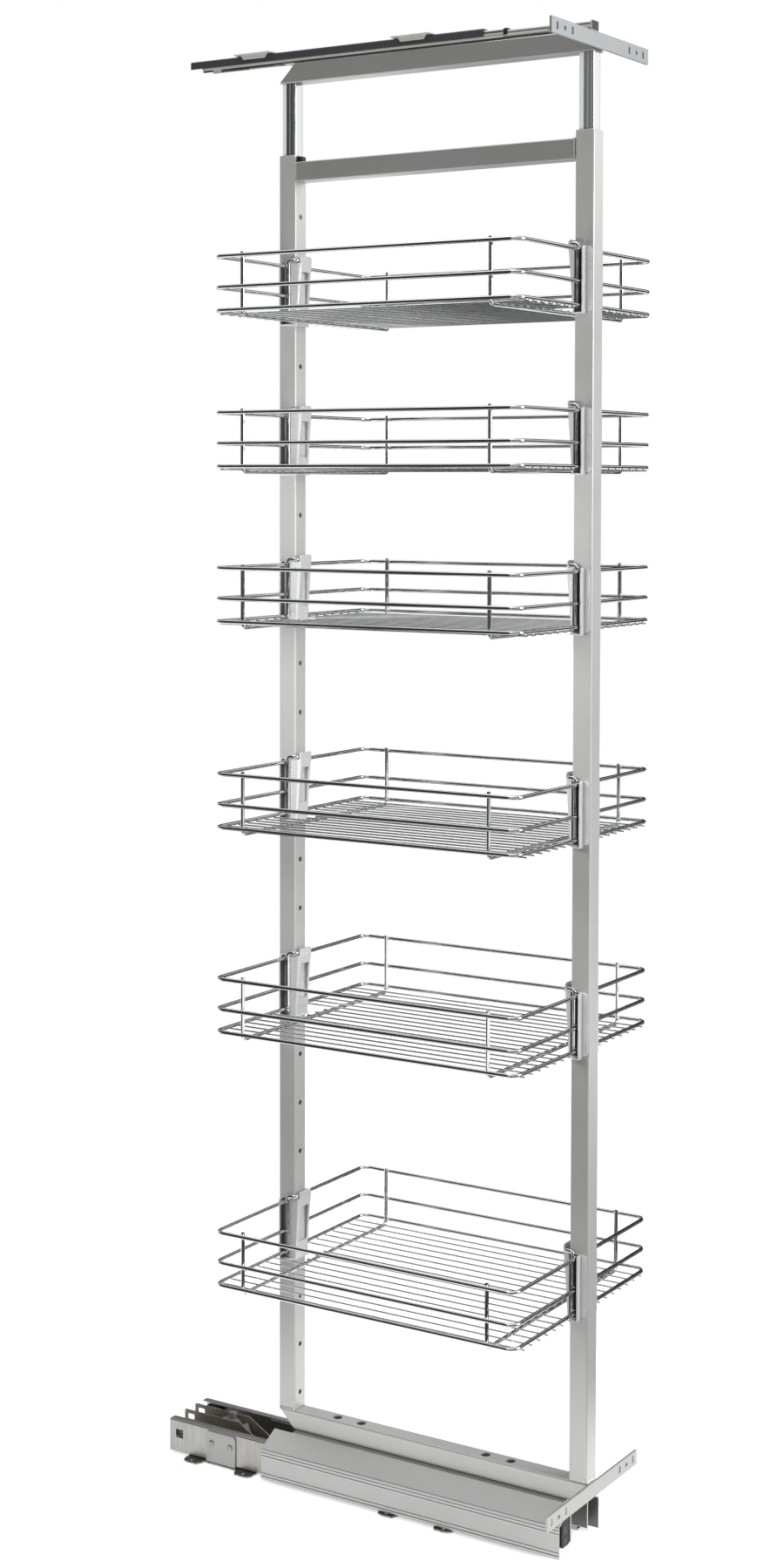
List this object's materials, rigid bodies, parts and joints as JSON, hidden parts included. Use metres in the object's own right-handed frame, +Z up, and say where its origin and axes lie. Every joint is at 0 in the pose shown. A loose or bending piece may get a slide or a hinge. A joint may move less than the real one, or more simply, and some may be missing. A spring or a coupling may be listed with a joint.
{
  "type": "pull-out larder unit",
  "caption": "Tall pull-out larder frame: square-tube uprights on full-extension base and top runners, with chrome wire baskets hooked between them and flat bars for a door",
  "frame": {"origin": "On the floor of the cabinet, under the middle of the unit's whole box, as shown in the picture with the frame 112 mm out", "axes": "+Z is up, -Y is the way the unit pulls out of its cabinet (towards the door bars), +X is to the right seen from the front"},
  "size_m": [0.346, 0.6156, 1.8554],
  "materials": {
    "frame_silver": "satin",
    "bracket_grey": "satin",
    "bright_chrome": "polished",
    "bright_zinc": "brushed",
    "plate_grey": "satin",
    "dark_steel": "satin",
    "cover_aluminium": "satin",
    "black_plastic": "matte",
    "grey_plastic": "matte",
    "black_paint": "satin"
  },
  "bodies": {
    "cabinet_base": {"foot_rear": "dark_steel", "foot_front": "dark_steel", "slide_plate_rear_near": "plate_grey", "slide_plate_rear_far": "plate_grey", "slide_plate_front_near": "plate_grey", "slide_plate_front_far": "plate_grey", "plate_screw_rear_near_1": "bright_zinc", "plate_screw_rear_near_2": "bright_zinc", "plate_screw_rear_far_1": "bright_zinc", "plate_screw_rear_far_2": "bright_zinc", "plate_screw_front_near_1": "bright_zinc", "plate_screw_front_near_2": "bright_zinc", "plate_screw_front_far_1": "bright_zinc", "plate_screw_front_far_2": "bright_zinc", "base_outer_near": "bright_zinc", "base_outer_far": "bright_zinc", "soft_close_bracket": "dark_steel", "soft_close_damper": "grey_plastic"},
    "base_middle": {"base_middle_near": "bright_zinc", "base_middle_far": "bright_zinc"},
    "frame": {"base_inner_near": "bright_zinc", "base_inner_far": "bright_zinc", "cover_near": "cover_aluminium", "cover_far": "cover_aluminium", "front_buffer": "black_plastic", "bottom_beam": "frame_silver", "upright_rear": "frame_silver", "upright_front": "frame_silver", "crossbar": "frame_silver", "door_bar_lower": "frame_silver", "height_clamp": "black_plastic", "bracket_1_rear": "bracket_grey", "bracket_1_front": "bracket_grey", "bracket_2_rear": "bracket_grey", "bracket_2_front": "bracket_grey", "bracket_3_rear": "bracket_grey", "bracket_3_front": "bracket_grey", "bracket_4_rear": "bracket_grey", "bracket_4_front": "bracket_grey", "bracket_5_rear": "bracket_grey", "bracket_5_front": "bracket_grey", "bracket_6_rear": "bracket_grey", "bracket_6_front": "bracket_grey"},
    "top_carriage": {"mast_rear": "bright_chrome", "mast_front": "bright_chrome", "top_beam": "frame_silver", "top_rail_inner": "bright_zinc", "door_bar_upper": "frame_silver"},
    "top_runner": {"top_rail_hood": "black_paint", "top_rail_outer": "bright_zinc", "top_rail_cap": "black_plastic", "ceiling_clip_rear": "bright_zinc", "ceiling_clip_front": "bright_zinc"},
    "top_middle": {"top_rail_middle": "bright_zinc"},
    "basket_1_body": {"basket_1": "bright_chrome"},
    "basket_2_body": {"basket_2": "bright_chrome"},
    "basket_3_body": {"basket_3": "bright_chrome"},
    "basket_4_body": {"basket_4": "bright_chrome"},
    "basket_5_body": {"basket_5": "bright_chrome"},
    "basket_6_body": {"basket_6": "bright_chrome"}
  },
  "joints": [
    {"name": "pull_out", "type": "slide", "parent": "cabinet_base", "child": "frame", "axis": [0, -1, 0], "range_m": [-0.112, 0.338]},
    {"name": "base_middle_slide", "type": "slide", "parent": "cabinet_base", "child": "base_middle", "axis": [0, -1, 0], "range_m": [-0.056, 0.169]},
    {"name": "height_adjust", "type": "slide", "parent": "frame", "child": "top_carriage", "axis": [0, 0, 1], "range_m": [-0.08, 0.12]},
    {"name": "top_runner_height", "type": "slide", "parent": "cabinet_base", "child": "top_runner", "axis": [0, 0, 1], "range_m": [-0.08, 0.12]},
    {"name": "top_middle_slide", "type": "slide", "parent": "top_runner", "child": "top_middle", "axis": [0, -1, 0], "range_m": [-0.056, 0.169]},
    {"name": "lift_basket_1", "type": "slide", "parent": "frame", "child": "basket_1_body", "axis": [0, 0, 1], "range_m": [0, 0.08]},
    {"name": "lift_basket_2", "type": "slide", "parent": "frame", "child": "basket_2_body", "axis": [0, 0, 1], "range_m": [0, 0.08]},
    {"name": "lift_basket_3", "type": "slide", "parent": "frame", "child": "basket_3_body", "axis": [0, 0, 1], "range_m": [0, 0.08]},
    {"name": "lift_basket_4", "type": "slide", "parent": "frame", "child": "basket_4_body", "axis": [0, 0, 1], "range_m": [0, 0.08]},
    {"name": "lift_basket_5", "type": "slide", "parent": "frame", "child": "basket_5_body", "axis": [0, 0, 1], "range_m": [0, 0.08]},
    {"name": "lift_basket_6", "type": "slide", "parent": "frame", "child": "basket_6_body", "axis": [0, 0, 1], "range_m": [0, 0.08]}
  ],
  "couplings": [
    {"joint": "base_middle_slide", "follows": "pull_out", "ratio": 0.5},
    {"joint": "top_middle_slide", "follows": "pull_out", "ratio": 0.5},
    {"joint": "top_runner_height", "follows": "height_adjust", "ratio": 1}
  ]
}
